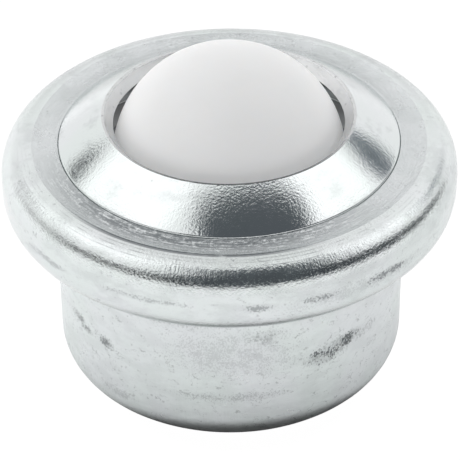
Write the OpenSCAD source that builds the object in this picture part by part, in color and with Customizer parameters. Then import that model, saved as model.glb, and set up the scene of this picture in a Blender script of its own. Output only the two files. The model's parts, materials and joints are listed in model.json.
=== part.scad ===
// Press-in ball transfer unit: a load ball runs on rows of small balls in a pressed steel housing.
// The origin is at the centre of the flat base, and +Z is up through the load ball.
// Each sheet-metal piece is a revolved section, drawn as a chain of straight runs and bends.

/* [Load ball] */
// Diameter of the load ball
ball_d = 15.875; // [14.5:0.125:17.75]
// Height of the top of the load ball above the base
total_h = 23.6; // [22:0.1:25.5]

/* [Support balls] */
// Diameter of a support ball
support_d = 2; // [1.8:0.1:2.1]
// Running gap between neighbouring balls, and between each ball and what it rolls on
running_gap = 0.05; // [0.03:0.01:0.08]

/* [Ball seat] */
// Thickness of the hardened sheet of the seat
seat_t = 0.9; // [0.7:0.1:1]

/* [Housing] */
// Outer diameter of the body, which goes into the hole of the table
body_d = 24; // [22:0.1:25.6]
// Height of the body, from the base to the underside of the ring
body_h = 12.1; // [11:0.1:13]
// Outer diameter of the ring
ring_d = 31; // [30:0.5:34]
// Height of the ring, from its underside to its crest
ring_h = 5.2; // [5:0.1:5.6]
// Thickness of the sheet of the housing
housing_t = 1; // [0.8:0.1:1.1]
// Outer radius of the bottom corner of the body
foot_round = 2.4; // [1.5:0.1:3.5]
// Radius of the fillet between the body and the ring
neck_round = 0.5; // [0.3:0.1:0.8]
// Outer radius of the lower edge of the ring
lower_round = 2.1; // [2:0.05:2.4]
// Outer radius of the shoulder of the ring
shoulder_round = 2.15; // [1.8:0.05:2.4]
// Depth of the groove that the closing tool coins into the top of the ring
groove_depth = 0.15; // [0.05:0.01:0.25]
// Width of the land that is left between the groove and the rolled edge
land_w = 0.15; // [0.1:0.01:0.3]

/* [Cap] */
// Thickness of the sheet of the cap
cap_t = 1; // [0.8:0.1:1.1]
// Diameter of the cone at its foot
cone_d = 23.1; // [22.8:0.1:23.6]
// Height of the foot of the cone above the crest of the ring
foot_rise = 0.05; // [0:0.01:0.3]
// How far the lip reaches in past the widest part of the load ball
lip_hold = 0.15; // [0.1:0.01:0.4]
// Gap between the lip and the load ball
lip_gap = 0.4; // [0.2:0.05:0.5]
// How far the underside of the pierced lip reaches past its top edge
lip_reach = 0.13; // [0:0.01:0.2]
// Radius of the edge at the foot of the cone
cone_round = 0.2; // [0.1:0.05:0.4]
// Radius of the corner between the step and the flange of the cap
step_round = 0.3; // [0.2:0.05:0.4]

/* [Fits] */
// Least gap between the bowl of the seat and the wall of the body
body_gap = 0.05; // [0.05:0.01:0.3]
// Gap between the rolled edge of the ring and the cap
seam_gap = 0.08; // [0.05:0.01:0.15]
// Gap between the wall of the ring and the skirt and brim inside it
ring_gap = 0.1; // [0.05:0.01:0.2]

/* [Hidden] */

$fn = 120;
SUPPORT_FN = 24;
ROWS = 7;

ball_r = ball_d / 2;
ball_z = total_h - ball_r;

// Housing: heights and radii of the outside faces
body_r = body_d / 2;
ring_r = ring_d / 2;
ring_top = body_h + ring_h;
ledge_r = ring_r - lower_round;
ledge_z = body_h + housing_t;
crest_r = ring_r - shoulder_round;

// Seat: the brim lies on the ledge, and its corner nests in the lower round of the ring.
// The bowl stays clear of the wall of the body.
brim_z = ledge_z + seat_t;
brim_round = min(seat_t, lower_round - housing_t);
brim_r = ledge_r + brim_round - ring_gap;
bowl_limit = body_r - housing_t - body_gap;

// Support balls: their centres lie on a sphere about the load ball's centre. The rows spread
// evenly up to the brim, and are never closer than one ball and one running gap.
support_step = support_d + running_gap;
race_r = ball_r + running_gap + support_d / 2;
bowl_r = race_r + support_d / 2 + running_gap;
top_angle = acos((ball_z - brim_z) / race_r);
row_angle = max(top_angle / (ROWS - 1), asin(support_step / race_r));

// Cap: the skirt stands on the brim, and the flange lies under the rolled rim.
skirt_r = ring_r - housing_t - ring_gap;
skirt_round = shoulder_round - housing_t;
flange_z = ring_top - housing_t;

// The cone runs from its foot to a lip that just holds the load ball.
cone_r = cone_d / 2;
cone_z = ring_top + foot_rise;
lip_r = ball_r - lip_hold;
lip_z = ball_z + sqrt(pow(ball_r + lip_gap, 2) - pow(lip_r, 2));
lip_to_foot = norm([cone_r - lip_r, lip_z - cone_z]);
slope = atan2(lip_z - cone_z, cone_r - lip_r) + asin(cap_t / lip_to_foot);
foot_trim = cone_round * tan((90 - slope) / 2);
cone_run = sqrt(pow(lip_to_foot, 2) - pow(cap_t, 2)) - lip_reach - foot_trim;

// The rolled edge, and the groove between its land and the crest
edge_r = cone_r + seam_gap;
groove_r = (edge_r + land_w + crest_r) / 2;
groove_w = crest_r - edge_r - land_w;
groove_cut_r = (pow(groove_w / 2, 2) + pow(groove_depth, 2)) / (2 * groove_depth);

// ---- Sheet-metal sections ----
// A section follows one face of its sheet. Each run or bend starts at the origin, heads along +X
// with its metal on the left, and draws its children from its own end. $sheet is the thickness.

// Straight run of length l
module run(l) {
    square([l, $sheet]);
    translate([l, 0]) children();
}

// Bend to the left by a degrees, or to the right if a is negative; r is the followed face's radius
module bend(a, r) {
    side = sign(a);
    translate([0, side * r]) {
        intersection() {
            ring_2d(side > 0 ? r : r + $sheet, side > 0 ? r - $sheet : r);
            rotate(-side * 90) wedge_2d(a, 2 * (r + $sheet));
        }
        rotate(a) translate([0, -side * r]) children();
    }
}

// Ring between two radii, or a full disc if the inner one has shrunk to nothing
module ring_2d(outer, inner) {
    difference() {
        circle(outer);
        if (inner > 0) circle(inner);
    }
}

// Wedge of up to 90 degrees from the X axis, long enough to span a bend
module wedge_2d(a, l) {
    polygon([[0, 0], for (turn = [0, a / 2, a]) l * [cos(turn), sin(turn)]]);
}

// End of a sheet, rounded off by r at the corner of its far face
module rounded_end(r) {
    if ($sheet > r) square([r, $sheet - r]);
    translate([0, $sheet - r])
        intersection() {
            circle(r);
            square(r);
        }
}

// Floor, wall, ledge and rolled ring, along the outside of the housing
module housing_section() {
    $sheet = housing_t;
    run(body_r - foot_round)
    bend(90, foot_round)
    run(body_h - foot_round - neck_round)
    bend(-90, neck_round)
    run(ledge_r - body_r - neck_round)
    bend(90, lower_round)
    run(ring_h - lower_round - shoulder_round)
    bend(90, shoulder_round)
    run(crest_r - edge_r - step_round)
    rounded_end(step_round);
}

// Skirt, flange, step and cone, along the outside of the cap
module cap_section() {
    $sheet = cap_t;
    translate([skirt_r, brim_z]) rotate(90)
    run(flange_z - brim_z - skirt_round)
    bend(90, skirt_round)
    run(skirt_r - skirt_round - cone_r - step_round)
    bend(-90, step_round)
    run(cone_z - flange_z - step_round - foot_trim)
    bend(90 - slope, cone_round)
    run(cone_run)
    polygon([[0, 0], [lip_reach, $sheet], [0, $sheet]]);
}

// Bowl up to the level of the brim, and the brim out to its nesting corner
module seat_section() {
    $sheet = seat_t;
    difference() {
        union() {
            intersection() {
                translate([0, ball_z]) circle(bowl_r + $sheet);
                square([bowl_limit, brim_z]);
            }
            translate([0, ledge_z]) square([brim_r - brim_round, $sheet]);
        }
        translate([0, ball_z]) circle(bowl_r);
    }
    translate([brim_r - brim_round, brim_z]) mirror([0, 1]) rounded_end(brim_round);
}

// ---- Pieces ----

// Deep-drawn housing, its rim rolled over the cap
module housing() {
    color("gainsboro")
        rotate_extrude()
            difference() {
                housing_section();
                translate([groove_r, ring_top - groove_depth + groove_cut_r]) circle(groove_cut_r);
            }
}

// Pressed cap whose lip keeps the load ball in
module cap() {
    color("whitesmoke") rotate_extrude() cap_section();
}

// Hardened bowl that the support balls roll in
module ball_seat() {
    color("slategray") rotate_extrude() seat_section();
}

// Load ball
module load_ball() {
    color("white") translate([0, 0, ball_z]) sphere(d = ball_d);
}

// Ring of support balls; row 0 is the single ball under the load ball
module support_balls(row) {
    tilt = row * row_angle;
    ring = race_r * sin(tilt);
    // The small allowance keeps a row that just fits from losing a ball to rounding.
    count = row == 0 ? 1 : floor(180 / asin(support_step / 2 / ring) + 0.001);
    color("silver")
        translate([0, 0, ball_z - race_r * cos(tilt)])
            for (i = [0 : count - 1])
                rotate(i * 360 / count) translate([ring, 0, 0]) sphere(d = support_d, $fn = SUPPORT_FN);
}

housing();
cap();
ball_seat();
load_ball();
for (row = [0 : ROWS - 1])
    support_balls(row);
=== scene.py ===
"""Looks of a press-in ball transfer unit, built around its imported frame.

The housing and the cap are drawn as sheet sections with a pen of runs and bends, turned on the axis,
and dressed in zinc. The load ball, the seat and the support balls keep their solids and get finishes.
Sizes are in millimetres, and become metres where they meet Blender.
"""

import json
import logging
import math
from collections.abc import Callable, Iterator
from dataclasses import dataclass, field
from enum import Enum
from typing import ClassVar

import bpy
from mathutils import Matrix, Vector


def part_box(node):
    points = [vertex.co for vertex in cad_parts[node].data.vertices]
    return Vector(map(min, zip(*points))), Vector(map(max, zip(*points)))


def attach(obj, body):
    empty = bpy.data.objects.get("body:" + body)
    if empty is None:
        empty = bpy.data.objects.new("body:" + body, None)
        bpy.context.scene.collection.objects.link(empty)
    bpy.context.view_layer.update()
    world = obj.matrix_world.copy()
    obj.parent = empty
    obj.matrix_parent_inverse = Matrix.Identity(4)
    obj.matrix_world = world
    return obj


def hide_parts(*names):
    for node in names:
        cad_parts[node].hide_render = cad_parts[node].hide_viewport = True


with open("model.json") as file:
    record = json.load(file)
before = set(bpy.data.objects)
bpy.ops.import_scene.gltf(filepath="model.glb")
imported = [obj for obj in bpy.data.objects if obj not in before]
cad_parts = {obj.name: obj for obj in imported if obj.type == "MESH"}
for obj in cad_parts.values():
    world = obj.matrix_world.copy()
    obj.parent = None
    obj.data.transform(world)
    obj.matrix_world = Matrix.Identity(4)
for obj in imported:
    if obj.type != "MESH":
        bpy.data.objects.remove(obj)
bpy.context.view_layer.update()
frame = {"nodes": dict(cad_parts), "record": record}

log = logging.getLogger("ball_unit")

# One millimetre in Blender's metres
MM = 0.001
# Steps of a full turn about the axis
TURN_STEPS = 288
# Most degrees of a bend, and most millimetres of a run, in one step
BEND_STEP = 6.0
RUN_STEP = 0.8
# Short step at each end of a run, which keeps its shading flat, in millimetres
HOLD = 0.04
# Points this near are merged, in millimetres
WELD = 0.002
# Edges sharper than this stay sharp in the shading, in degrees
SHARP = 35.0

Colour = tuple[float, float, float]
Socket = bpy.types.NodeSocket
FaceTest = Callable[[float, float, float], bool]

WHITE: Colour = (1.0, 1.0, 1.0)
COOL: Colour = (0.9, 1.0, 1.1)


# ---- Shader nodes ----


class Sheet:
    """Places nodes in one node tree and links them."""

    def __init__(self, tree: bpy.types.NodeTree) -> None:
        """Takes the tree to draw on."""
        self.tree = tree

    def add(
        self, kind: str, values: dict[str | int, object] | None = None, **settings: object
    ) -> bpy.types.Node:
        """Adds a node.

        Args:
            kind: Type of the node, such as "ShaderNodeBump".
            values: A socket to link, or a value to set, for each input by its name or number.
            settings: Properties of the node, which are set first.

        Returns:
            The new node.
        """
        node = self.tree.nodes.new(kind)
        for name, setting in settings.items():
            setattr(node, name, setting)
        for key, value in (values or {}).items():
            if isinstance(value, Socket):
                self.tree.links.new(value, node.inputs[key])
            else:
                node.inputs[key].default_value = value
        return node

    def math(self, operation: str, *values: Socket | float) -> Socket:
        """Returns the result of a Math node on up to three values."""
        return self.add("ShaderNodeMath", dict(enumerate(values)), operation=operation).outputs[0]

    def vector(self, operation: str, *values: object) -> bpy.types.Node:
        """Returns a Vector Math node on the given inputs, in their order."""
        return self.add("ShaderNodeVectorMath", dict(enumerate(values)), operation=operation)

    def moved(self, place: Socket, by: Socket | Colour) -> Socket:
        """Returns a place moved by a vector, or by a seed along each axis."""
        return self.vector("ADD", place, by).outputs[0]

    def scaled(self, place: Socket, by: Socket | float) -> Socket:
        """Returns a place times a number."""
        return self.add("ShaderNodeVectorMath", {0: place, "Scale": by}, operation="SCALE").outputs[0]

    def split(self, place: Socket) -> list[Socket]:
        """Returns the X, Y and Z of a place."""
        return list(self.add("ShaderNodeSeparateXYZ", {0: place}).outputs)

    def join(self, *values: Socket | float) -> Socket:
        """Returns the place with the given X, Y and Z."""
        return self.add("ShaderNodeCombineXYZ", dict(enumerate(values))).outputs[0]

    def spot(self) -> Socket:
        """Returns where on the object a point is, in millimetres."""
        return self.scaled(self.add("ShaderNodeTexCoord").outputs["Object"], 1 / MM)

    def ramp(self, value: Socket, low: float | Socket, high: float | Socket) -> Socket:
        """Returns a smooth step from 0 at low to 1 at high; low may be the larger."""
        values = {"Value": value, "From Min": low, "From Max": high}
        return self.add("ShaderNodeMapRange", values, interpolation_type="SMOOTHSTEP").outputs[0]

    def step(self, value: Socket, middle: Socket, blur: float) -> Socket:
        """Returns a smooth step up about a middle, which reaches as far as blur to each side."""
        return self.ramp(value, self.math("SUBTRACT", middle, blur), self.math("ADD", middle, blur))

    def noise(self, place: Socket, scale: float | Socket, detail: float = 2.0, rough: float = 0.5) -> Socket:
        """Returns the value of a Noise Texture, which averages one half."""
        values = {"Vector": place, "Scale": scale, "Detail": detail, "Roughness": rough}
        return self.add("ShaderNodeTexNoise", values).outputs[0]

    def cells(self, size: Socket) -> Socket:
        """Returns the scale of a texture whose cells are that many millimetres across."""
        return self.math("DIVIDE", 1.0, size)

    def radius(self, place: Socket) -> tuple[Socket, Socket, Socket]:
        """Measures a place from the Z axis.

        Args:
            place: Where on the object.

        Returns:
            How far it is from the axis, its unit direction from the axis, and its height.
        """
        x, y, height = self.split(place)
        flat = self.join(x, y)
        out = self.vector("NORMALIZE", flat).outputs[0]
        return self.vector("LENGTH", flat).outputs[1], out, height

    def polar(
        self, place: Socket, around: Socket | float, outward: Socket | float, upward: Socket | float
    ) -> Socket:
        """Puts noise coordinates on a circle about the axis, which closes without a seam.

        Args:
            place: Where on the object, in millimetres.
            around: Radius of the circle in cells.
            outward: Cells per millimetre away from the axis.
            upward: Cells per millimetre up the axis.

        Returns:
            The noise coordinates.
        """
        radius, out, height = self.radius(place)
        along = self.math("MULTIPLY_ADD", radius, outward, self.math("MULTIPLY", height, upward))
        return self.moved(self.scaled(out, around), self.join(0.0, 0.0, along))

    def mix(self, amount: Socket | float, first: Socket | Colour, second: Socket | Colour) -> Socket:
        """Blends two colours.

        Args:
            amount: 0 for all of the first, and 1 for all of the second.
            first: One colour.
            second: The other colour.

        Returns:
            The blend.
        """
        full = [(*c, 1.0) if isinstance(c, tuple) else c for c in (first, second)]
        values = {0: amount, 6: full[0], 7: full[1]}
        return self.add("ShaderNodeMix", values, data_type="RGBA").outputs[2]

    def effect(self, made: "Effect", place: Socket, **values: float | Socket) -> Socket:
        """Places a shared effect.

        Args:
            made: The effect.
            place: Where on the object, in millimetres.
            values: The effect's own inputs by name.

        Returns:
            The effect's output.
        """
        given = {"Place": place, **values}
        return self.add("ShaderNodeGroup", given, node_tree=made.tree()).outputs[0]

    def end(self, shader: bpy.types.Node) -> None:
        """Gives the material its last shader."""
        self.add("ShaderNodeOutputMaterial", {0: shader.outputs[0]})


def blank_material(name: str) -> tuple[bpy.types.Material, Sheet]:
    """Makes a material with no nodes in it.

    Args:
        name: Name of the material.

    Returns:
        The material, and the sheet to draw its nodes on.
    """
    made = bpy.data.materials.new(name)
    made.use_nodes = True
    made.node_tree.nodes.clear()
    return made, Sheet(made.node_tree)


class Effect:
    """A node group that more than one finish uses; it is made when it is first placed."""

    name: ClassVar[str] = "effect"
    inputs: ClassVar[dict[str, float]] = {}
    output: ClassVar[str] = "Height"

    def tree(self) -> bpy.types.NodeTree:
        """Makes the group, unless it is there.

        Returns:
            The group.
        """
        if self.name in bpy.data.node_groups:
            return bpy.data.node_groups[self.name]
        tree = bpy.data.node_groups.new(self.name, "ShaderNodeTree")
        tree.interface.new_socket("Place", in_out="INPUT", socket_type="NodeSocketVector")
        for name, value in self.inputs.items():
            socket = tree.interface.new_socket(name, in_out="INPUT", socket_type="NodeSocketFloat")
            socket.default_value = value
        tree.interface.new_socket(self.output, in_out="OUTPUT", socket_type="NodeSocketFloat")
        sheet = Sheet(tree)
        given = tree.nodes.new("NodeGroupInput").outputs
        result = self.draw(sheet, {socket.name: socket for socket in given if socket.name})
        tree.links.new(result, tree.nodes.new("NodeGroupOutput").inputs[0])
        return tree

    def draw(self, sheet: Sheet, given: dict[str, Socket]) -> Socket:
        """Draws the group's nodes.

        Args:
            sheet: The group's tree.
            given: The group's input sockets by name.

        Returns:
            The socket that leaves the group.
        """
        raise NotImplementedError


class Peel(Effect):
    """Orange peel: the even, pebbly surface of pressed and plated sheet."""

    name = "peel"
    inputs = {"Size": 0.4, "Seed": 0.0}

    def draw(self, sheet: Sheet, given: dict[str, Socket]) -> Socket:
        """Returns noise with cells of the given size."""
        moved = sheet.moved(given["Place"], given["Seed"])
        return sheet.noise(moved, sheet.cells(given["Size"]), detail=3.0, rough=0.55)


class Grain(Effect):
    """Grain with a lay: streaks whose cells are counted round the axis, and measured out and up."""

    name = "grain"
    inputs = {"Around": 60.0, "Outward": 1.0, "Upward": 1.0, "Seed": 0.0}

    def draw(self, sheet: Sheet, given: dict[str, Socket]) -> Socket:
        """Returns noise on a circle about the axis, so that it closes without a seam."""
        spot = sheet.polar(given["Place"], given["Around"], given["Outward"], given["Upward"])
        return sheet.noise(sheet.moved(spot, given["Seed"]), 1.0, detail=3.0, rough=0.6)


class Cover(Effect):
    """Ragged patches that cover part of the surface, drawn out round the axis by Stretch.

    A patch is where the noise is over a level, which starts at bare and falls as Share rises.
    """

    name = "cover"
    inputs = {"Size": 3.0, "Stretch": 2.0, "Share": 0.3, "Seed": 0.0}
    output = "Mask"
    bare: ClassVar[float] = 0.72
    fall: ClassVar[float] = 0.5
    blur: ClassVar[float] = 0.1

    def draw(self, sheet: Sheet, given: dict[str, Socket]) -> Socket:
        """Draws the patches with soft, broken edges.

        Args:
            sheet: The group's tree.
            given: The group's input sockets by name.

        Returns:
            1 on the patches and 0 between them.
        """
        drawn = sheet.vector("MULTIPLY", given["Place"], sheet.join(1.0, 1.0, given["Stretch"])).outputs[0]
        moved = sheet.moved(drawn, given["Seed"])
        wide = sheet.noise(moved, sheet.cells(given["Size"]), detail=5.0, rough=0.65)
        level = sheet.math("SUBTRACT", self.bare, sheet.math("MULTIPLY", given["Share"], self.fall))
        return sheet.step(wide, level, self.blur)


class Specks(Effect):
    """Small round specks: pits and the pin-holes of the plating.

    Rim and core are how far from a cell's middle its speck begins and is full, in cells.
    """

    name = "specks"
    inputs = {"Size": 0.5, "Share": 0.1, "Seed": 0.0}
    output = "Mask"
    rim: ClassVar[float] = 0.34
    core: ClassVar[float] = 0.16

    def draw(self, sheet: Sheet, given: dict[str, Socket]) -> Socket:
        """Draws a speck in some of the cells.

        Args:
            sheet: The group's tree.
            given: The group's input sockets by name.

        Returns:
            1 at the middle of the cells that hold a speck.
        """
        moved = sheet.moved(given["Place"], given["Seed"])
        cells = sheet.add("ShaderNodeTexVoronoi", {"Vector": moved, "Scale": sheet.cells(given["Size"])})
        dot = sheet.ramp(cells.outputs["Distance"], self.rim, self.core)
        drawn = sheet.add("ShaderNodeSeparateColor", {0: cells.outputs["Color"]}).outputs[0]
        return sheet.math("MULTIPLY", dot, sheet.math("LESS_THAN", drawn, given["Share"]))


class Mark(Effect):
    """One scuff at a place on the side of the housing, given by its azimuth and height.

    Its strokes are where the noise is over a level, which is lowest in the middle and rises outwards.
    The noise has wide_share of broad masses and the rest of fine strokes, squeezed along the side.
    """

    name = "mark"
    inputs = {"Azimuth": -90.0, "Height": 6.0, "Width": 12.0, "Depth": 1.0, "Lean": 0.0}
    output = "Mask"
    side_r: ClassVar[float] = 12.0
    fine_scale: ClassVar[float] = 5.5
    wide_scale: ClassVar[float] = 1.2
    wide_share: ClassVar[float] = 0.3
    squeeze: ClassVar[tuple[float, float, float]] = (1.5, 1.0, 1.0)
    level: ClassVar[float] = 0.435
    level_rise: ClassVar[float] = 0.15
    blur: ClassVar[float] = 0.08
    halo: ClassVar[float] = 0.25

    def draw(self, sheet: Sheet, given: dict[str, Socket]) -> Socket:
        """Draws the scuff, broken into strokes; Width is in degrees and Depth in millimetres.

        Args:
            sheet: The group's tree.
            given: The group's input sockets by name.

        Returns:
            1 on the strokes, and a faint halo round them.
        """
        x, y, height = sheet.split(given["Place"])
        away = sheet.math("SUBTRACT", sheet.math("ARCTAN2", y, x), sheet.math("RADIANS", given["Azimuth"]))
        away = sheet.math("WRAP", away, math.pi, -math.pi)
        rise = sheet.math("MULTIPLY_ADD", away, sheet.math("MULTIPLY", given["Lean"], -1.0), height)
        across = sheet.math("DIVIDE", away, sheet.math("RADIANS", given["Width"]))
        down = sheet.math("DIVIDE", sheet.math("SUBTRACT", rise, given["Height"]), given["Depth"])
        far = sheet.math("ADD", sheet.math("MULTIPLY", across, across), sheet.math("MULTIPLY", down, down))
        spot = sheet.join(sheet.math("MULTIPLY", away, self.side_r), rise, given["Azimuth"])
        strokes = sheet.vector("MULTIPLY", spot, self.squeeze).outputs[0]
        fine = sheet.noise(strokes, self.fine_scale, detail=4.0, rough=0.75)
        fine = sheet.math("MULTIPLY", fine, 1.0 - self.wide_share)
        mass = sheet.math("MULTIPLY_ADD", sheet.noise(spot, self.wide_scale), self.wide_share, fine)
        level = sheet.math("MULTIPLY_ADD", far, self.level_rise, self.level)
        core = sheet.ramp(mass, level, sheet.math("ADD", level, self.blur))
        halo = sheet.math("MULTIPLY", sheet.ramp(far, 1.0, 0.0), self.halo)
        return sheet.math("MAXIMUM", core, halo)


class Hairs(Effect):
    """Short curled dark scratches, gathered in patches.

    A scratch follows the level lines of a noise, and a second noise breaks it up. Rim and core are how
    far from the level it begins and is full.
    """

    name = "hairs"
    inputs = {"Size": 0.7, "Share": 0.3, "Seed": 0.0}
    output = "Mask"
    rim: ClassVar[float] = 0.035
    core: ClassVar[float] = 0.005
    squeeze: ClassVar[tuple[float, float, float]] = (1.0, 1.0, 1.5)
    break_scale: ClassVar[float] = 1.6
    break_edge: ClassVar[tuple[float, float]] = (0.48, 0.6)
    patch_size: ClassVar[float] = 2.4

    def draw(self, sheet: Sheet, given: dict[str, Socket]) -> Socket:
        """Draws the scratches.

        Args:
            sheet: The group's tree.
            given: The group's input sockets by name.

        Returns:
            1 along the scratches and 0 off them.
        """
        moved = sheet.moved(given["Place"], given["Seed"])
        drawn = sheet.vector("MULTIPLY", moved, self.squeeze).outputs[0]
        wave = sheet.noise(drawn, sheet.cells(given["Size"]), detail=3.0, rough=0.6)
        off = sheet.math("ABSOLUTE", sheet.math("SUBTRACT", wave, 0.5))
        line = sheet.ramp(off, self.rim, self.core)
        broken = sheet.ramp(sheet.noise(moved, self.break_scale, detail=4.0, rough=0.7), *self.break_edge)
        patch = {"Size": self.patch_size, "Share": given["Share"], "Seed": given["Seed"]}
        where = sheet.effect(Cover(), given["Place"], Stretch=2.0, **patch)
        return sheet.math("MULTIPLY", where, sheet.math("MULTIPLY", line, broken))


class Pits(Effect):
    """Pitted skin of coined metal: dark pits with bright grains between them.

    Pits lie where a noise of short cells, mixed with one of long streaks, is under a level. Both are
    given as cells round the axis, and per millimetre outward and upward.
    """

    name = "pits"
    inputs = {"Share": 0.4}
    pit_cells: ClassVar[tuple[float, float, float]] = (45.0, 6.0, 1.0)
    streak_cells: ClassVar[tuple[float, float, float]] = (7.0, 8.0, 1.0)
    streak_share: ClassVar[float] = 0.55
    level: ClassVar[float] = 0.4
    level_rise: ClassVar[float] = 0.2
    blur: ClassVar[float] = 0.09

    def draw(self, sheet: Sheet, given: dict[str, Socket]) -> Socket:
        """Draws the pits out round the axis.

        Args:
            sheet: The group's tree.
            given: The group's input sockets by name.

        Returns:
            0 in the pits and 1 on the grains.
        """
        place = given["Place"]
        pits = sheet.noise(sheet.polar(place, *self.pit_cells), 1.0, detail=4.0, rough=0.7)
        streaks = sheet.noise(sheet.polar(place, *self.streak_cells), 1.0, detail=4.0, rough=0.65)
        pits = sheet.math("MULTIPLY", pits, 1.0 - self.streak_share)
        skin = sheet.math("MULTIPLY_ADD", streaks, self.streak_share, pits)
        level = sheet.math("MULTIPLY_ADD", given["Share"], self.level_rise, self.level)
        return sheet.step(skin, level, self.blur)


class Sector(Effect):
    """Part of the way round the axis, given by its middle and its reach to each side in degrees.

    It is full as far as full from the middle, in radians.
    """

    name = "sector"
    inputs = {"Azimuth": -90.0, "Reach": 70.0}
    output = "Mask"
    full: ClassVar[float] = 0.3

    def draw(self, sheet: Sheet, given: dict[str, Socket]) -> Socket:
        """Draws the sector with ends that fade.

        Args:
            sheet: The group's tree.
            given: The group's input sockets by name.

        Returns:
            1 at the middle of the sector, falling to 0 at its ends.
        """
        x, y, _ = sheet.split(given["Place"])
        away = sheet.math("SUBTRACT", sheet.math("ARCTAN2", y, x), sheet.math("RADIANS", given["Azimuth"]))
        away = sheet.math("ABSOLUTE", sheet.math("WRAP", away, math.pi, -math.pi))
        return sheet.ramp(away, sheet.math("RADIANS", given["Reach"]), self.full)


class RingLine(Effect):
    """A fine line round the axis at one radius, which comes and goes."""

    name = "ring_line"
    inputs = {"Radius": 13.0, "Width": 0.06, "Gaps": 0.5, "Seed": 0.0}
    output = "Mask"
    core: ClassVar[float] = 0.3
    break_scale: ClassVar[float] = 0.4
    blur: ClassVar[float] = 0.1

    def draw(self, sheet: Sheet, given: dict[str, Socket]) -> Socket:
        """Draws the line; its core is a share of its width.

        Args:
            sheet: The group's tree.
            given: The group's input sockets by name.

        Returns:
            1 on the line and 0 off it.
        """
        radius = sheet.radius(given["Place"])[0]
        away = sheet.math("ABSOLUTE", sheet.math("SUBTRACT", radius, given["Radius"]))
        line = sheet.ramp(away, given["Width"], sheet.math("MULTIPLY", given["Width"], self.core))
        moved = sheet.moved(given["Place"], given["Seed"])
        broken = sheet.noise(moved, self.break_scale, detail=5.0, rough=0.75)
        return sheet.math("MULTIPLY", line, sheet.step(broken, given["Gaps"], self.blur))


class Shade(Effect):
    """Contact shade round a circle about the axis: a dark core and a faint, wide tail."""

    name = "shade"
    inputs = {"Inner": 8.4, "Core": 11.0, "Tail": 17.0}
    output = "Mask"
    core_share: ClassVar[float] = 0.6

    def draw(self, sheet: Sheet, given: dict[str, Socket]) -> Socket:
        """Draws the core over the tail.

        Args:
            sheet: The group's tree.
            given: The group's input sockets by name.

        Returns:
            1 inside the inner radius, falling to 0 at the end of the tail.
        """
        radius = sheet.radius(given["Place"])[0]
        core = sheet.ramp(radius, given["Core"], given["Inner"])
        tail = sheet.ramp(radius, given["Tail"], given["Inner"])
        tail = sheet.math("MULTIPLY", tail, 1.0 - self.core_share)
        return sheet.math("MULTIPLY_ADD", core, self.core_share, tail)


# ---- Finishes ----


class Lay(Enum):
    """Which way the grain of a surface runs, as cells round the axis, outward and upward."""

    RADIAL = (120.0, 2.2, 2.2)
    AXIAL = (70.0, 0.5, 0.7)
    CIRCULAR = (5.0, 9.0, 9.0)
    EVEN = (50.0, 5.0, 5.0)


@dataclass(frozen=True)
class Scuff:
    """One scuff on the side of the housing.

    The azimuth and width are in degrees, the height and depth in millimetres, and the lean in
    millimetres per radian.
    """

    azimuth: float
    height: float
    width: float
    depth: float
    lean: float = 0.0
    strength: float = 0.6


@dataclass(frozen=True)
class Line:
    """A dark line round the axis: its radius, half width and strength, and the sector it is seen in.

    Gaps is the noise level under which the line is broken. The strong crest lines, drawn on the front only,
    are painted shade; the fine lines are turned lines.
    """

    radius: float
    width: float = 0.06
    strength: float = 0.5
    gaps: float = 0.5
    azimuth: float = -95.0
    reach: float = 95.0


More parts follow.
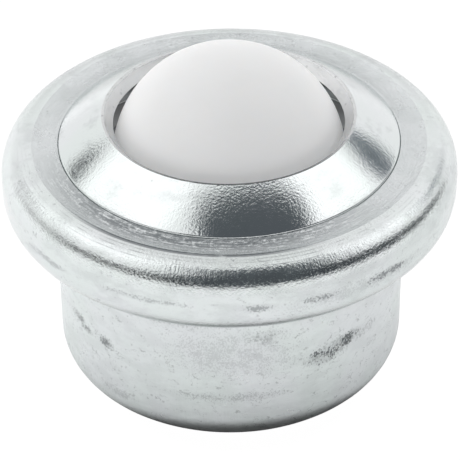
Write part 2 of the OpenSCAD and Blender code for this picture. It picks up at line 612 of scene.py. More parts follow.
@dataclass(frozen=True)
class ZincFinish:
    """Zinc-plated sheet: colour, gloss and the texture that pressing and plating leave.

    Sizes and heights are in millimetres. A share is how much of the surface has a feature, a strength is
    how dark it is, and an edge is the two levels of noise between which it fades in.
    """

    name: str
    bright: Colour = (0.765, 0.79, 0.8)
    tinted: Colour = (0.745, 0.79, 0.78)
    # Dark colour of stains, specks, hairs and scuffs, and also of painted shade and painted dark reflection
    dirt_and_painted_dark: Colour = (0.26, 0.275, 0.285)
    rough: float = 0.12
    rough_range: float = 0.1
    rough_size: float = 1.6
    peel_size: float = 0.4
    peel_height: float = 0.006
    lay: Lay = Lay.RADIAL
    grain_height: float = 0.004
    line_height: float = 0.0
    tint_size: float = 5.0
    tint_edge: tuple[float, float] = (0.35, 0.65)
    cover_size: float = 2.4
    cover_stretch: float = 2.0
    cover_share: float = 0.2
    cover_strength: float = 0.2
    speck_share: float = 0.05
    speck_strength: float = 0.3
    speck_size: float = 0.4
    hair_share: float = 0.0
    hair_strength: float = 0.4
    fleck_rough: float = 0.0
    fleck_size: float = 0.2
    fleck_edge: tuple[float, float] = (0.48, 0.62)
    pit_share: float = 0.0
    pit_strength: float = 0.7
    pit_height: float = 0.0
    # Sector on the front where the pits are darkest: painted dark reflection over the real pitting
    pit_dark_sector: tuple[float, float] = (-95.0, 85.0)
    pit_ring: tuple[float, float] = (12.0, 13.6)
    pit_stray: float = 0.1
    # Painted light: an emission that lifts a surface that sits in shade
    glow: float = 0.0
    lines: tuple[Line, ...] = ()
    scuffs: tuple[Scuff, ...] = ()

    def material(self) -> bpy.types.Material:
        """Draws the finish.

        Returns:
            A new material.
        """
        made, sheet = blank_material(self.name)
        place = sheet.spot()
        values = {
            "Base Color": self.colour(sheet, place),
            "Metallic": 1.0,
            "Roughness": self.gloss(sheet, place),
            "Normal": self.relief(sheet, place),
            # The glow is painted light, for surfaces that sit in shade
            "Emission Color": (*WHITE, 1.0),
            "Emission Strength": self.glow,
        }
        sheet.end(sheet.add("ShaderNodeBsdfPrincipled", values))
        return made

    def colour(self, sheet: Sheet, place: Socket) -> Socket:
        """Draws the colour: two zinc tints, then stains in patches, specks, lines, pits and scuffs.

        The crest lines are painted shade, and the pits on the front are partly painted dark reflection.

        Args:
            sheet: The material's nodes.
            place: Where on the object, in millimetres.

        Returns:
            The base colour.
        """
        tint = sheet.ramp(sheet.effect(Peel(), place, Size=self.tint_size, Seed=3.0), *self.tint_edge)
        form = {"Size": self.cover_size, "Stretch": self.cover_stretch, "Share": self.cover_share}
        # Stains in patches first; the marks laid over them include painted shade
        grime_and_painted_dark = sheet.effect(Cover(), place, Seed=7.0, **form)
        grime_and_painted_dark = sheet.math("MULTIPLY", grime_and_painted_dark, self.cover_strength)
        for mask, strength in self.marks(sheet, place):
            grime_and_painted_dark = sheet.math("MAXIMUM", grime_and_painted_dark, sheet.math("MULTIPLY", mask, strength))
        return sheet.mix(grime_and_painted_dark, sheet.mix(tint, self.bright, self.tinted), self.dirt_and_painted_dark)

    def marks(self, sheet: Sheet, place: Socket) -> Iterator[tuple[Socket, float]]:
        """Draws the marks over the patches.

        Crest lines are painted shade, and the pits on the front are partly painted dark reflection.

        Args:
            sheet: The material's nodes.
            place: Where on the object, in millimetres.

        Yields:
            The mask of each kind of mark, and its strength.
        """
        dots = {"Size": self.speck_size, "Share": self.speck_share, "Seed": 11.0}
        yield sheet.effect(Specks(), place, **dots), self.speck_strength
        if self.hair_share:
            yield sheet.effect(Hairs(), place, Share=self.hair_share, Seed=13.0), self.hair_strength
        for line in self.lines:
            where = sheet.effect(Sector(), place, Azimuth=line.azimuth, Reach=line.reach)
            form = {"Radius": line.radius, "Width": line.width, "Gaps": line.gaps}
            drawn = sheet.effect(RingLine(), place, Seed=2.0, **form)
            yield sheet.math("MULTIPLY", drawn, where), line.strength
        if self.pit_share:
            yield self.pits_and_painted_dark(sheet, place), self.pit_strength
        for scuff in self.scuffs:
            form = {"Width": scuff.width, "Depth": scuff.depth, "Lean": scuff.lean}
            drawn = sheet.effect(Mark(), place, Azimuth=scuff.azimuth, Height=scuff.height, **form)
            yield drawn, scuff.strength

    def pits_and_painted_dark(self, sheet: Sheet, place: Socket) -> Socket:
        """Draws the pits, which are strongest in the middle of their sector and inside their ring.

        The sector faces the front, where the real pits are darkened further as painted dark reflection.

        Args:
            sheet: The material's nodes.
            place: Where on the object, in millimetres.

        Returns:
            1 in the deepest pits, and pit_stray of that outside the sector.
        """
        azimuth, reach = self.pit_dark_sector
        inner, outer = self.pit_ring
        where = sheet.effect(Sector(), place, Azimuth=azimuth, Reach=reach)
        where = sheet.math("MULTIPLY_ADD", where, 1.0 - self.pit_stray, self.pit_stray)
        where = sheet.math("MULTIPLY", where, sheet.ramp(sheet.radius(place)[0], outer, inner))
        skin = sheet.effect(Pits(), place, Share=self.pit_share)
        return sheet.math("MULTIPLY", sheet.math("SUBTRACT", 1.0, skin), where)

    def gloss(self, sheet: Sheet, place: Socket) -> Socket:
        """Draws the roughness.

        Args:
            sheet: The material's nodes.
            place: Where on the object, in millimetres.

        Returns:
            The roughness, which wanders over the surface and rises in dull flecks.
        """
        wander = sheet.effect(Peel(), place, Size=self.rough_size, Seed=5.0)
        rough = sheet.math("MULTIPLY_ADD", wander, self.rough_range, self.rough - self.rough_range / 2)
        if self.fleck_rough:
            flecks = sheet.effect(Peel(), place, Size=self.fleck_size, Seed=17.0)
            flecks = sheet.ramp(flecks, *self.fleck_edge)
            rough = sheet.math("MULTIPLY_ADD", flecks, self.fleck_rough, rough)
        return rough

    def relief(self, sheet: Sheet, place: Socket) -> Socket:
        """Draws the relief of peel, grain, turned lines and pits.

        Args:
            sheet: The material's nodes.
            place: Where on the object, in millimetres.

        Returns:
            The normal.
        """
        around, outward, upward = self.lay.value
        peel = sheet.effect(Peel(), place, Size=self.peel_size)
        grain = sheet.effect(Grain(), place, Around=around, Outward=outward, Upward=upward)
        height = sheet.math("MULTIPLY", peel, self.peel_height)
        height = sheet.math("MULTIPLY_ADD", grain, self.grain_height, height)
        if self.line_height:
            around, outward, upward = Lay.CIRCULAR.value
            lines = sheet.effect(Grain(), place, Around=around, Outward=outward, Upward=upward, Seed=9.0)
            height = sheet.math("MULTIPLY_ADD", lines, self.line_height, height)
        if self.pit_height:
            skin = sheet.effect(Pits(), place, Share=self.pit_share)
            height = sheet.math("MULTIPLY_ADD", skin, self.pit_height, height)
        return sheet.add("ShaderNodeBump", {"Distance": MM, "Height": height}).outputs[0]


@dataclass(frozen=True)
class PlasticFinish:
    """Moulded white plastic with a faint mottle; light that goes in comes out a little way off, and a faint
    glow of painted light lifts its shade.
    """

    name: str
    white: Colour = (0.82, 0.82, 0.82)
    handled: Colour = (0.76, 0.76, 0.758)
    mottle_size: float = 4.0
    mottle_edge: tuple[float, float] = (0.3, 0.7)
    mottle_strength: float = 0.5
    speck_size: float = 1.4
    speck_share: float = 0.05
    speck_strength: float = 0.12
    peel_size: float = 0.35
    peel_height: float = 0.002
    rough: float = 0.42
    rough_range: float = 0.12
    rough_size: float = 2.0
    scatter: float = 0.6
    scatter_reach: Colour = (1.0, 0.9, 0.8)
    # Painted light: an emission that lifts the ball's shade, most where it meets the lip
    glow: float = 0.18

    def material(self) -> bpy.types.Material:
        """Draws the finish.

        Returns:
            A new material.
        """
        made, sheet = blank_material(self.name)
        place = sheet.spot()
        mottle = sheet.effect(Peel(), place, Size=self.mottle_size, Seed=2.0)
        mottle = sheet.ramp(mottle, *self.mottle_edge)
        specks = sheet.effect(Specks(), place, Size=self.speck_size, Share=self.speck_share, Seed=4.0)
        shade = sheet.mix(sheet.math("MULTIPLY", mottle, self.mottle_strength), self.white, self.handled)
        shade = sheet.mix(sheet.math("MULTIPLY", specks, self.speck_strength), shade, self.handled)
        peel = sheet.math("MULTIPLY", sheet.effect(Peel(), place, Size=self.peel_size), self.peel_height)
        wander = sheet.effect(Peel(), place, Size=self.rough_size, Seed=6.0)
        rough = sheet.math("MULTIPLY_ADD", wander, self.rough_range, self.rough - self.rough_range / 2)
        values = {
            "Base Color": shade,
            "Roughness": rough,
            "Normal": sheet.add("ShaderNodeBump", {"Distance": MM, "Height": peel}).outputs[0],
            "Subsurface Weight": self.scatter,
            "Subsurface Radius": self.scatter_reach,
            "Subsurface Scale": MM,
            # The glow is painted light
            "Emission Color": (*WHITE, 1.0),
            "Emission Strength": self.glow,
        }
        sheet.end(sheet.add("ShaderNodeBsdfPrincipled", values))
        return made


CAP_ZINC = ZincFinish(
    "cap_zinc",
    rough=0.05,
    rough_range=0.03,
    peel_size=0.16,
    peel_height=0.0105,
    lay=Lay.RADIAL,
    grain_height=0.003,
    speck_share=0.01,
    fleck_rough=0.06,
    fleck_size=0.14,
)
SHEARED_ZINC = ZincFinish(
    "sheared_zinc",
    bright=(0.8, 0.805, 0.81),
    tinted=(0.69, 0.7, 0.705),
    rough=0.3,
    peel_size=0.14,
    peel_height=0.04,
    lay=Lay.EVEN,
    speck_share=0.2,
)
# Lip edge next to the ball: a dark line of dense pits and specks, darkest on the front half
DARK_LIP_ZINC = ZincFinish(
    "dark_lip_zinc",
    bright=(0.8, 0.81, 0.815),
    tinted=(0.74, 0.75, 0.755),
    dirt_and_painted_dark=(0.13, 0.14, 0.145),
    rough=0.25,
    peel_size=0.12,
    peel_height=0.05,
    lay=Lay.EVEN,
    speck_share=0.5,
    speck_size=0.3,
    speck_strength=0.5,
    pit_share=1.0,
    pit_strength=0.95,
    pit_dark_sector=(-85.0, 88.0),
    pit_ring=(9.0, 10.0),
)
# Underside of the cap, seen in the gap round the ball: its glow is painted light that lifts its shade
SHADED_ZINC = ZincFinish("shaded_zinc", rough=0.4, lay=Lay.EVEN, glow=0.1)
COINED_ZINC = ZincFinish(
    "coined_zinc",
    bright=(0.755, 0.78, 0.79),
    tinted=(0.69, 0.72, 0.725),
    dirt_and_painted_dark=(0.1, 0.115, 0.125),
    rough=0.26,
    rough_range=0.16,
    peel_size=0.16,
    peel_height=0.014,
    lay=Lay.EVEN,
    grain_height=0.002,
    line_height=0.014,
    cover_share=0.3,
    cover_strength=0.1,
    speck_share=0.1,
    speck_size=0.3,
    pit_share=0.68,
    pit_strength=0.82,
    pit_height=0.017,
    # Pits darkest on the front: real pitting, darkened there as painted dark reflection
    pit_dark_sector=(-104.0, 80.0),
    lines=(
        # Crest line, drawn on the front only: painted shade
        Line(13.3, width=0.18, strength=1.0, gaps=0.36, azimuth=-103.0, reach=48.0),
        Line(12.98),
        Line(12.5),
        Line(12.1),
    ),
)
ROLLED_ZINC = ZincFinish(
    "rolled_zinc",
    rough=0.08,
    rough_range=0.06,
    peel_size=0.15,
    peel_height=0.023,
    lay=Lay.RADIAL,
    grain_height=0.013,
    line_height=0.01,
    cover_share=0.35,
    cover_strength=0.16,
    speck_share=0.04,
    hair_share=0.35,
    hair_strength=0.5,
    fleck_rough=0.15,
    lines=(
        # Crest line, drawn on the front only: painted shade
        Line(13.4, width=0.18, strength=1.0, gaps=0.36, azimuth=-103.0, reach=48.0),
        Line(13.75),
        Line(14.0),
        Line(14.3),
    ),
    scuffs=(
        Scuff(azimuth=-84.0, height=14.7, width=7.0, depth=0.4, strength=0.75),
        Scuff(azimuth=-68.0, height=14.7, width=7.0, depth=0.4, strength=0.9),
        Scuff(azimuth=-50.0, height=14.6, width=9.0, depth=0.5, strength=1.0),
        Scuff(azimuth=-60.0, height=14.5, width=30.0, depth=0.9, strength=0.3),
        Scuff(azimuth=-140.0, height=14.6, width=10.0, depth=0.35, strength=0.5),
        Scuff(azimuth=-112.0, height=14.8, width=14.0, depth=0.3, strength=0.5),
    ),
)
DRAWN_ZINC = ZincFinish(
    "drawn_zinc",
    dirt_and_painted_dark=(0.14, 0.15, 0.155),
    rough=0.3,
    rough_range=0.14,
    peel_size=0.4,
    peel_height=0.02,
    lay=Lay.AXIAL,
    grain_height=0.02,
    cover_share=0.4,
    cover_strength=0.09,
    speck_share=0.02,
    hair_share=0.54,
    hair_strength=0.46,
    scuffs=(
        Scuff(azimuth=-59.0, height=6.5, width=8.5, depth=0.9, strength=1.0),
        Scuff(azimuth=-49.5, height=7.1, width=9.0, depth=0.7, lean=0.3, strength=1.0),
        Scuff(azimuth=-53.0, height=6.9, width=22.0, depth=1.0, lean=0.2, strength=0.45),
        Scuff(azimuth=-150.0, height=6.8, width=6.0, depth=0.5, strength=0.8),
        Scuff(azimuth=-144.5, height=6.3, width=5.0, depth=0.4, strength=0.8),
        Scuff(azimuth=-134.5, height=6.4, width=4.0, depth=0.6, strength=0.8),
        Scuff(azimuth=-90.0, height=8.0, width=30.0, depth=2.8, strength=0.28),
        Scuff(azimuth=-110.0, height=10.5, width=26.0, depth=0.6, strength=0.35),
        Scuff(azimuth=-90.0, height=4.4, width=26.0, depth=0.5, strength=0.4),
        Scuff(azimuth=-130.0, height=2.6, width=10.0, depth=0.5, strength=0.35),
        Scuff(azimuth=-79.0, height=9.4, width=6.0, depth=0.7, strength=0.5),
    ),
)
# Seat, seen only in the gap round the ball: darkened as painted shade, with a faint glow of painted light
DARK_SEAT_STEEL = ZincFinish(
    "dark_seat_steel",
    bright=(0.42, 0.42, 0.43),
    tinted=(0.36, 0.36, 0.37),
    dirt_and_painted_dark=(0.1, 0.1, 0.1),
    rough=0.35,
    lay=Lay.CIRCULAR,
    glow=0.05,
)
POLISHED_STEEL = ZincFinish(
    "polished_steel",
    bright=(0.5, 0.5, 0.52),
    tinted=(0.4, 0.41, 0.43),
    rough=0.12,
    peel_height=0.001,
    grain_height=0.0,
    lay=Lay.EVEN,
)
BALL_PLASTIC = PlasticFinish("ball_plastic")


# ---- Modelling ----


class SheetPen:
    """Draws a sheet's section in the XZ plane as one wire, then turns it about the Z axis.

    A run goes straight on. A bend turns to the left by its angle, or to the right if that is negative.
    """

    def __init__(self, name: str, x: float, z: float, heading: float) -> None:
        """Sets the pen down.

        Args:
            name: Name of the piece.
            x: Radius of the first point.
            z: Height of the first point.
            heading: Direction of the first run, in degrees from +X towards +Z.
        """
        self.first = self.x, self.z = x, z
        self.heading = heading
        bpy.ops.object.select_all(action="DESELECT")
        bpy.ops.mesh.primitive_plane_add(size=MM, location=(x * MM, 0.0, z * MM))
        self.piece = bpy.context.object
        self.piece.name = name
        bpy.ops.object.transform_apply()
        bpy.ops.object.mode_set(mode="EDIT")
        bpy.ops.mesh.select_mode(type="VERT")
        bpy.ops.mesh.select_all(action="SELECT")
        bpy.ops.mesh.merge(type="CENTER")

    def _step(self, length: float) -> None:
        """Extrudes the last point straight on.

        Args:
            length: How far, in millimetres.
        """
        turn = math.radians(self.heading)
        dx, dz = length * math.cos(turn), length * math.sin(turn)
        bpy.ops.mesh.extrude_region_move(TRANSFORM_OT_translate={"value": (dx * MM, 0.0, dz * MM)})
        self.x += dx
        self.z += dz

    def run(self, length: float) -> "SheetPen":
        """Goes straight on; a short step at each end keeps the shading of the run flat.

        Args:
            length: How far, in millimetres.

        Returns:
            The pen, so that the next call can follow on.
        """
        hold = min(HOLD, length / 4)
        middle = length - 2 * hold
        parts = max(1, math.ceil(middle / RUN_STEP))
        for step in [hold, *[middle / parts] * parts, hold]:
            self._step(step)
        return self

    def bend(self, angle: float, radius: float, steps: int = 2) -> "SheetPen":
        """Turns along an arc.

        Args:
            angle: Turn to the left, in degrees; a negative one is to the right.
            radius: Radius of the arc, in millimetres.
            steps: Least number of steps.

        Returns:
            The pen, so that the next call can follow on.
        """
        side = math.copysign(1.0, angle)
        across = math.radians(self.heading + 90 * side)
        centre_x = self.x + radius * math.cos(across)
        centre_z = self.z + radius * math.sin(across)
        bpy.ops.mesh.spin(
            steps=max(steps, math.ceil(abs(angle) / BEND_STEP)),
            angle=math.radians(angle),
            center=(centre_x * MM, 0.0, centre_z * MM),
            axis=(0.0, 1.0, 0.0),
        )
        self.heading += angle
        away = math.radians(self.heading - 90 * side)
        self.x = centre_x + radius * math.cos(away)
        self.z = centre_z + radius * math.sin(away)
        return self

    def corner(self, angle: float) -> "SheetPen":
        """Turns on the spot, where two faces meet at an edge."""
        self.heading += angle
        return self

    def close(self) -> "SheetPen":
        """Goes straight back to the first point.

        Returns:
            The pen.
        """
        dx, dz = self.first[0] - self.x, self.first[1] - self.z
        self.heading = math.degrees(math.atan2(dz, dx))
        return self.run(math.hypot(dx, dz))

    def turn(self) -> bpy.types.Object:
        """Turns the section into a closed piece.

        Returns:
            The piece, with its faces pointing outwards and its shading smooth up to its edges.
        """
        bpy.ops.mesh.select_all(action="SELECT")
        bpy.ops.mesh.remove_doubles(threshold=WELD * MM)
        bpy.ops.mesh.spin(steps=TURN_STEPS, angle=2 * math.pi, center=(0, 0, 0), axis=(0, 0, 1))
        bpy.ops.mesh.select_all(action="SELECT")
        bpy.ops.mesh.remove_doubles(threshold=WELD * MM)
        bpy.ops.mesh.normals_make_consistent(inside=False)
        bpy.ops.object.mode_set(mode="OBJECT")
        bpy.ops.object.shade_smooth_by_angle(angle=math.radians(SHARP))
        return self.piece


def take(piece: bpy.types.Object) -> None:
    """Makes a piece the active object and the only one selected.

    Args:
        piece: The piece.
    """
    bpy.ops.object.select_all(action="DESELECT")
    bpy.context.view_layer.objects.active = piece
    piece.select_set(True)


def wear(piece: bpy.types.Object, size: float, depth: float) -> None:
    """Lets a turned piece wander inwards, as pressed sheet does.

    Args:
        piece: The piece.
        size: Size of the hollows, in millimetres.
        depth: Depth of the deepest, in millimetres.
    """
    clouds = bpy.data.textures.new(f"{piece.name}_hollows", "CLOUDS")
    clouds.noise_scale = size * MM
    clouds.noise_depth = 1
    hollow = piece.modifiers.new("hollows", "DISPLACE")
    hollow.texture = clouds
    hollow.texture_coords = "LOCAL"
    hollow.mid_level = 1.0
    hollow.strength = depth * MM
    take(piece)
    bpy.ops.object.modifier_apply(modifier=hollow.name)


def select_faces(piece: bpy.types.Object, test: FaceTest) -> None:
    """Selects the faces that pass a test.

    Args:
        piece: The piece.
        test: Takes the radius and height of a face's centre, in millimetres, and the upward part of
            its normal.
    """
    for face in piece.data.polygons:
        centre = face.center
        radius = math.hypot(centre.x, centre.y)
        face.select = test(radius / MM, centre.z / MM, face.normal.z)


def dress(piece: bpy.types.Object, finish: ZincFinish, test: FaceTest | None = None) -> None:
    """Gives a piece one more finish.

    Args:
        piece: The piece.
        finish: The finish.
        test: Which faces get it. The first finish of a piece needs none.
    """
    piece.data.materials.append(finish.material())
    if test is None:
        return
    take(piece)
    bpy.ops.object.mode_set(mode="EDIT")
    bpy.ops.mesh.select_mode(type="FACE")
    bpy.ops.mesh.select_all(action="DESELECT")
    bpy.ops.object.mode_set(mode="OBJECT")
    select_faces(piece, test)
    bpy.ops.object.mode_set(mode="EDIT")
    piece.active_material_index = len(piece.data.materials) - 1
    bpy.ops.object.material_slot_assign()
    bpy.ops.object.mode_set(mode="OBJECT")


def mount(record: dict, name: str) -> dict:
    """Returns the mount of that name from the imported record."""
    return next(m for m in record["mounts"] if m["name"] == name)


@dataclass
class Housing:
    """Deep-drawn cup whose ring is rolled in over the cap.

    Facing is the least upward part of the normal of a face that the closing tool has coined.
    """

    record: dict
    sheet: float = 1.0
    foot_round: float = 2.4
    neck_round: float = 0.5
    lower_round: float = 2.1
    shoulder_round: float = 2.15
    edge_r: float = 11.58
    edge_round: float = 0.06
    end_round: float = 0.3
    land: float = 0.15
    groove_depth: float = 0.15
    groove_lip: float = 0.05
    hollow_size: float = 3.2
    hollow_depth: float = 0.012
    facing: float = 0.5
    body_r: float = field(init=False)
    ring_z: float = field(init=False)
    ring_r: float = field(init=False)
    top_z: float = field(init=False)
    crest_r: float = field(init=False)

    def __post_init__(self) -> None:
        """Reads the main sizes from the frame."""
        self.body_r = mount(self.record, "body_pin")["dims"]["r_mm"]
        self.ring_z = mount(self.record, "ring_face")["pos_m"][2] / MM
        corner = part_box("housing")[1]
        self.ring_r = corner.x / MM
        self.top_z = corner.z / MM
        self.crest_r = self.ring_r - self.shoulder_round

    def build(self) -> bpy.types.Object:
        """Models the housing, dresses it and fits it to the frame.

        Returns:
            The housing.
        """
        piece = self.section().turn()
        wear(piece, self.hollow_size, self.hollow_depth)
        neck_z = self.ring_z - self.neck_round
        coined_z = self.top_z - 2 * self.groove_depth
        dress(piece, DRAWN_ZINC)
        dress(piece, ROLLED_ZINC, lambda r, z, up: z > neck_z)
        dress(piece, COINED_ZINC, lambda r, z, up: r < self.crest_r and z > coined_z and up > self.facing)
        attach(piece, "housing")
        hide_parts("housing")
        return piece

    def section(self) -> SheetPen:
        """Draws the section: outside face, rolled edge and inside face.

        Returns:
            The pen at the end of the section.
        """
        bottom = self.body_r - self.foot_round
        wall = self.ring_z - self.foot_round - self.neck_round
        ledge = self.ring_r - self.lower_round - self.body_r - self.neck_round
        side = self.top_z - self.ring_z - self.lower_round - self.shoulder_round
        pen = SheetPen("housing_shell", 0.0, 0.0, 0.0)
        pen.run(bottom).bend(90, self.foot_round)
        pen.run(wall).bend(-90, self.neck_round)
        pen.run(ledge).bend(90, self.lower_round)
        pen.run(side).bend(90, self.shoulder_round)
        self._groove(pen)
        pen.run(self.land - self.edge_round).bend(90, self.edge_round)
        pen.run(self.sheet - self.edge_round - self.end_round).bend(90, self.end_round)
        pen.run(self.crest_r - self.edge_r - self.end_round).bend(-90, self.shoulder_round - self.sheet)
        pen.run(side).bend(-90, self.lower_round - self.sheet)
        pen.run(ledge).bend(90, self.neck_round + self.sheet)
        pen.run(wall).bend(-90, self.foot_round - self.sheet)
        return pen.run(bottom)

    def _groove(self, pen: SheetPen) -> None:
        """Draws the coined groove from the crest of the ring to the land of the rolled edge.

        Args:
            pen: The pen, at the crest and heading inwards.
        """
        half = (self.crest_r - self.edge_r - self.land) / 2
        radius = (half**2 + self.groove_depth**2) / (2 * self.groove_depth)
        tilt = math.degrees(math.asin(half / radius))
        trim = self.groove_lip * math.tan(math.radians(tilt / 2))
        short = tilt - math.degrees(2 * trim / radius)
        pen.bend(tilt, self.groove_lip)
        pen.bend(-tilt - short, radius)
        pen.bend(short, self.groove_lip)


@dataclass
class Cap:
    """Pressed cap: skirt, flange, step and a crowned cone up to the pierced lip.

    Crown is how far the cone's heading turns from its foot to its lip, in degrees. Facing is the least
    upward part of the normal of a cut face, and the least downward part of the underside's.
    """

    sheet: float = 1.0
    skirt_round: float = 1.15
    flange_z: float = 16.3
    cone_r: float = 11.55
    cone_z: float = 17.35
    step_round: float = 0.3
    cone_round: float = 0.2
    crown: float = 5.0
    crown_steps: int = 16
    lip_edge_r: float = 8.448
    lip_round: float = 0.16
    lip_reach: float = 0.13
    hollow_size: float = 3.6
    hollow_depth: float = 0.006
    facing: float = 0.3
    skirt_r: float = field(init=False)
    foot_z: float = field(init=False)
    lip_z: float = field(init=False)

    def __post_init__(self) -> None:
        """Reads the main sizes from the frame."""
        low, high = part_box("cap")
        self.skirt_r = high.x / MM
        self.foot_z = low.z / MM
        self.lip_z = high.z / MM

    def build(self) -> bpy.types.Object:
        """Models the cap, dresses it and fits it to the frame.

        Returns:
            The cap.
        """
        piece = self.section().turn()
        wear(piece, self.hollow_size, self.hollow_depth)
        dark_lip_r = self.lip_edge_r + self.lip_round
        dark_lip_z = self.lip_z - self.lip_round
        dress(piece, CAP_ZINC)
        dress(piece, SHEARED_ZINC, lambda r, z, up: r < self.lip_edge_r and up > self.facing)
        # The underside glows faintly: painted light in the gap round the ball
        dress(piece, SHADED_ZINC, lambda r, z, up: up < -self.facing and r < self.cone_r)
        # The lip edge next to the ball is drawn as a dark line
        dress(piece, DARK_LIP_ZINC, lambda r, z, up: r < dark_lip_r and z > dark_lip_z and up > 0.0)
        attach(piece, "housing")
        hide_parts("cap")
        return piece

    def section(self) -> SheetPen:
        """Draws the closed section: outside face, cut edge and underside.

        Returns:
            The pen at the end of the section.
        """
        rise, reach = self.lip_z - self.cone_z, self.cone_r - self.lip_edge_r
        slope = math.degrees(math.atan2(rise, reach))
        trim = self.cone_round * math.tan(math.radians(90 - slope) / 2)
        cut = math.degrees(math.atan2(self.sheet, self.lip_reach))
        lip_trim = self.lip_round * math.tan(math.radians(cut / 2))
        cone = math.hypot(rise, reach) - trim - lip_trim
        crown_r = cone / 2 / math.sin(math.radians(self.crown / 2))
        skirt = self.flange_z - self.foot_z - self.skirt_round
        flange = self.skirt_r - self.skirt_round - self.cone_r - self.step_round
        step = self.cone_z - self.flange_z - self.step_round - trim
        pen = SheetPen("cap_shell", self.skirt_r, self.foot_z, 90.0)
        pen.run(skirt).bend(90, self.skirt_round)
        pen.run(flange).bend(-90, self.step_round)
        pen.run(step).bend(90 - slope - self.crown / 2, self.cone_round)
        pen.bend(self.crown, crown_r, self.crown_steps).corner(-self.crown / 2)
        pen.bend(cut, self.lip_round).run(math.hypot(self.sheet, self.lip_reach) - lip_trim)
        pen.corner(180 - cut).run(cone + lip_trim + self.lip_reach)
        pen.bend(slope - 90, self.cone_round + self.sheet).run(step)
        pen.bend(90, self.step_round + self.sheet).run(flange)
        pen.bend(-90, self.skirt_round - self.sheet).run(skirt)
        return pen.close()


@dataclass
class BallSet:
    """The load ball, the seat and the rows of support balls, which keep their solids."""

    nodes: dict[str, bpy.types.Object]

    def build(self) -> list[bpy.types.Object]:
        """Dresses the solids.

        Returns:
            The dressed nodes.
        """
        # The glows of the ball and the seat are painted light in the gap round the ball
        finishes = {"load_ball": BALL_PLASTIC.material(), "ball_seat": DARK_SEAT_STEEL.material()}
        polished = POLISHED_STEEL.material()
        dressed = []
        for name, node in self.nodes.items():
            if name in finishes or name.startswith("support_balls"):
                self._dress(node, finishes.get(name, polished))
                dressed.append(node)
        return dressed

    def _dress(self, node: bpy.types.Object, finish: bpy.types.Material) -> None:
        """Gives a node one finish all over."""
        node.data.materials.clear()
        node.data.materials.append(finish)


# ---- Studio ----


# What the camera sees of the sky and the floor, where 1 is white
BACKDROP = 1.1


def direction(azimuth: float, elevation: float) -> Vector:
    """Points a vector.

    Args:
        azimuth: Angle from +X round the Z axis, in degrees.
        elevation: Angle up from the floor, in degrees.

    Returns:
        The unit vector that points there.
    """
    turn, lift = math.radians(azimuth), math.radians(elevation)
    return Vector((math.cos(turn) * math.cos(lift), math.sin(turn) * math.cos(lift), math.sin(lift)))


@dataclass(frozen=True)
class Card:
    """A softbox or a dark flag about the object, given by where the two ends of its middle line are.

    The ends are (azimuth, elevation). They, the breadth and the width of the soft edge are in degrees,
    and the distance is in metres.
    """

    name: str
    start: tuple[float, float]
    end: tuple[float, float]
    breadth: float
    glow: float
    distance: float = 0.5
    soft: float = 3.0
    tint: Colour = COOL

    def material(self) -> bpy.types.Material:
        """Draws the card's light, which fades to nothing at the edges.

        Returns:
            A new material.
        """
        made, sheet = blank_material(self.name)
        along, across, _ = sheet.split(sheet.add("ShaderNodeTexCoord").outputs["Object"])
        reach = math.degrees(self.half_turn())
        ends = sheet.ramp(sheet.math("ABSOLUTE", along), 1.0, 1.0 - self.soft / reach)
        sides = sheet.ramp(sheet.math("ABSOLUTE", across), 1.0, 1.0 - 2 * self.soft / self.breadth)
        glow = sheet.add("ShaderNodeEmission", {"Color": (*self.tint, 1.0), "Strength": self.glow})
        clear = sheet.add("ShaderNodeBsdfTransparent")
        values = {0: sheet.math("MULTIPLY", ends, sides), 1: clear.outputs[0], 2: glow.outputs[0]}
        sheet.end(sheet.add("ShaderNodeMixShader", values))
        return made

    def half_turn(self) -> float:
        """Returns half the angle between the two ends, in radians."""
        return direction(*self.start).angle(direction(*self.end)) / 2

    def placing(self, aim: Vector) -> Matrix:
        """Places a plane of size 2 as the card.

        Args:
            aim: What the card faces.

        Returns:
            The matrix, with X along the middle line and Z away from the object.
        """
        start, end = direction(*self.start), direction(*self.end)
        out = (start + end).normalized()
        along = (end - start).normalized()
        turn = Matrix((along, out.cross(along), out)).transposed().to_4x4()
        length = self.distance * math.tan(self.half_turn())
        width = self.distance * math.tan(math.radians(self.breadth / 2))
        return Matrix.Translation(aim + out * self.distance) @ turn @ Matrix.Diagonal((length, width, 1, 1))


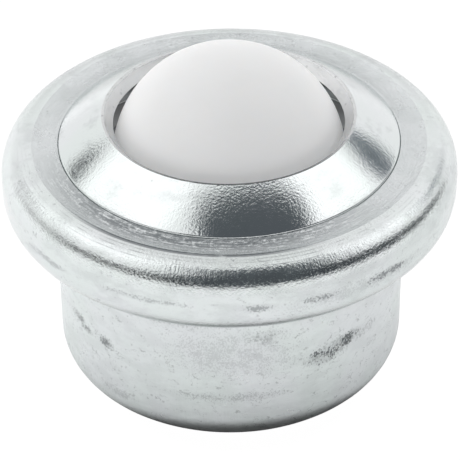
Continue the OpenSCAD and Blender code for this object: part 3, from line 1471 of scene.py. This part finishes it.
@dataclass(frozen=True)
class FloorFinish:
    """Pale floor that the camera sees nearly white, while the object mirrors its greys.

    The left grey turns to the right one across right_reach, to the back one in a wedge behind the object,
    and to the shade round its foot. The right grey, the back grey and that shade are painted shade.
    Distances are in millimetres.
    """

    name: str = "pale_floor"
    left: Colour = (0.9, 0.9, 0.9)
    right: Colour = (0.79, 0.79, 0.79)
    right_reach: float = 50.0
    back: Colour = (0.7, 0.7, 0.7)
    back_spread: float = 1.5
    back_edge: float = 35.0
    back_ends: tuple[float, float] = (120.0, 300.0)
    shade: Colour = (0.1, 0.1, 0.1)
    shade_centre: tuple[float, float, float] = (0.5, -3.6, 0.0)
    glow: float = 0.42
    camera_share: float = 0.9

    def material(self) -> bpy.types.Material:
        """Draws the finish.

        Returns:
            A new material.
        """
        made, sheet = blank_material(self.name)
        pale = self.colour(sheet, sheet.spot())
        plain = sheet.add("ShaderNodeBsdfDiffuse", {"Color": pale})
        glow = sheet.add("ShaderNodeEmission", {"Color": pale, "Strength": self.glow})
        lit = sheet.add("ShaderNodeAddShader", {0: plain.outputs[0], 1: glow.outputs[0]})
        white = sheet.add("ShaderNodeEmission", {"Color": (*WHITE, 1.0), "Strength": BACKDROP})
        seen = sheet.add("ShaderNodeLightPath").outputs["Is Camera Ray"]
        seen = sheet.math("MULTIPLY", seen, self.camera_share)
        sheet.end(sheet.add("ShaderNodeMixShader", {0: seen, 1: lit.outputs[0], 2: white.outputs[0]}))
        return made

    def colour(self, sheet: Sheet, place: Socket) -> Socket:
        """Draws the greys, which are painted shade apart from the pale left one.

        Args:
            sheet: The material's nodes.
            place: Where on the floor, in millimetres.

        Returns:
            The colour.
        """
        x, y, _ = sheet.split(place)
        near, far = self.back_ends
        # Painted shade, which the object mirrors: greyer to the right and in a wedge at the back
        grey = sheet.mix(sheet.ramp(x, 0.0, self.right_reach), self.left, self.right)
        inward = sheet.math("MULTIPLY_ADD", sheet.math("ABSOLUTE", x), -self.back_spread, y)
        wedge = sheet.math("MULTIPLY", sheet.ramp(inward, 0.0, self.back_edge), sheet.ramp(y, far, near))
        grey = sheet.mix(wedge, grey, self.back)
        from_centre = sheet.vector("SUBTRACT", place, self.shade_centre).outputs[0]
        return sheet.mix(sheet.effect(Shade(), from_centre), grey, self.shade)


@dataclass
class Studio:
    """Pale floor, soft light and the camera.

    Lean turns the camera about its gaze, in radians, and shift moves the picture up, as a share of its
    width. Places and distances are in metres, and the lens and the sensor in millimetres.
    """

    aim: Vector = field(default_factory=lambda: Vector((0.0, 0.0, 0.010)))
    eye: Vector = field(default_factory=lambda: Vector((0.0, -0.1301, 0.1054)))
    lens: float = 181.88
    sensor: float = 36.0
    nearest: float = 0.005
    lean: float = -0.010
    shift: float = -0.014
    sky: float = 1.0
    floor_size: float = 6.0
    floor_drop: float = 0.02 * MM
    cards: tuple[Card, ...] = (
        Card("left_box", (145.0, 36.0), (-150.0, 66.0), 26.0, 1.35, tint=WHITE),
        Card("right_box", (32.0, 38.0), (-14.0, 62.0), 22.0, 1.35, tint=WHITE),
        Card("back_dim", (88.0, 46.0), (88.0, 88.0), 18.0, 0.66, 0.45, 4.0, WHITE),
        Card("back_low", (66.0, 10.0), (114.0, 10.0), 25.0, 0.82, 0.46, 5.0, WHITE),
        Card("front_flag", (-80.0, 17.0), (-80.0, 60.5), 76.0, 0.1, 0.44, 4.0),
        Card("top_flag", (-69.0, 54.0), (-38.0, 80.8), 48.0, 0.11, 0.45, 3.0),
        Card("left_strip", (-110.0, 27.0), (-177.0, 21.0), 13.5, 0.02, 0.42, 0.9),
        Card("left_tip", (-175.0, 21.0), (152.0, 13.0), 9.0, 0.4, 0.42, 1.5, WHITE),
        Card("right_strip", (-58.0, 29.0), (-1.0, 20.5), 26.0, 0.07, 0.42, 2.0),
        Card("right_tip", (-4.0, 20.0), (31.0, 8.0), 15.0, 0.05, 0.42, 2.5),
        Card("left_patch", (151.0, 27.0), (139.0, 27.3), 6.5, 0.06, 0.43, 0.6),
        Card("right_patch", (29.5, 27.5), (46.5, 26.5), 13.5, 0.2, 0.43, 1.4),
    )

    def build(self) -> None:
        """Sets up the sky, the cards, the floor and the camera."""
        self.make_sky()
        for card in self.cards:
            self.make_card(card)
        self.make_floor()
        self.make_camera()

    def make_sky(self) -> None:
        """Lights the scene evenly from all round."""
        world = bpy.data.worlds.new("studio_sky")
        world.use_nodes = True
        world.node_tree.nodes.clear()
        sheet = Sheet(world.node_tree)
        seen = sheet.add("ShaderNodeLightPath").outputs["Is Camera Ray"]
        level = sheet.math("MULTIPLY_ADD", seen, BACKDROP - self.sky, self.sky)
        light = sheet.add("ShaderNodeBackground", {"Color": (*WHITE, 1.0), "Strength": level})
        sheet.add("ShaderNodeOutputWorld", {0: light.outputs[0]})
        bpy.context.scene.world = world
        bpy.context.scene.view_settings.view_transform = "Standard"

    def make_card(self, card: Card) -> None:
        """Adds a softbox or a flag that faces the object.

        Args:
            card: The card.
        """
        bpy.ops.object.select_all(action="DESELECT")
        bpy.ops.mesh.primitive_plane_add(size=2.0)
        panel = bpy.context.object
        panel.name = card.name
        panel.matrix_world = card.placing(self.aim)
        panel.visible_camera = False
        panel.data.materials.append(card.material())

    def make_floor(self) -> None:
        """Adds the floor just under the object."""
        bpy.ops.object.select_all(action="DESELECT")
        bpy.ops.mesh.primitive_plane_add(size=self.floor_size, location=(0.0, 0.0, -self.floor_drop))
        floor = bpy.context.object
        floor.name = "floor"
        floor.data.materials.append(FloorFinish().material())

    def make_camera(self) -> None:
        """Places the camera and aims it at the ring."""
        bpy.ops.object.select_all(action="DESELECT")
        bpy.ops.object.camera_add(location=self.eye)
        camera = bpy.context.object
        camera.name = "camera"
        camera.rotation_euler = (self.aim - self.eye).to_track_quat("-Z", "Y").to_euler()
        camera.rotation_euler.rotate_axis("Z", self.lean)
        camera.data.lens = self.lens
        camera.data.sensor_width = self.sensor
        camera.data.shift_y = self.shift
        camera.data.clip_start = self.nearest
        bpy.context.scene.camera = camera


def main() -> None:
    """Builds the pieces in order and reports each."""
    logging.basicConfig(level=logging.INFO, format="%(message)s")
    record = frame["record"]
    Studio().build()
    for piece in (Housing(record).build(), Cap().build()):
        log.info("%s: %d faces", piece.name, len(piece.data.polygons))
    for node in BallSet(frame["nodes"]).build():
        log.info("%s: dressed", node.name)


if __name__ == "__main__":
    main()
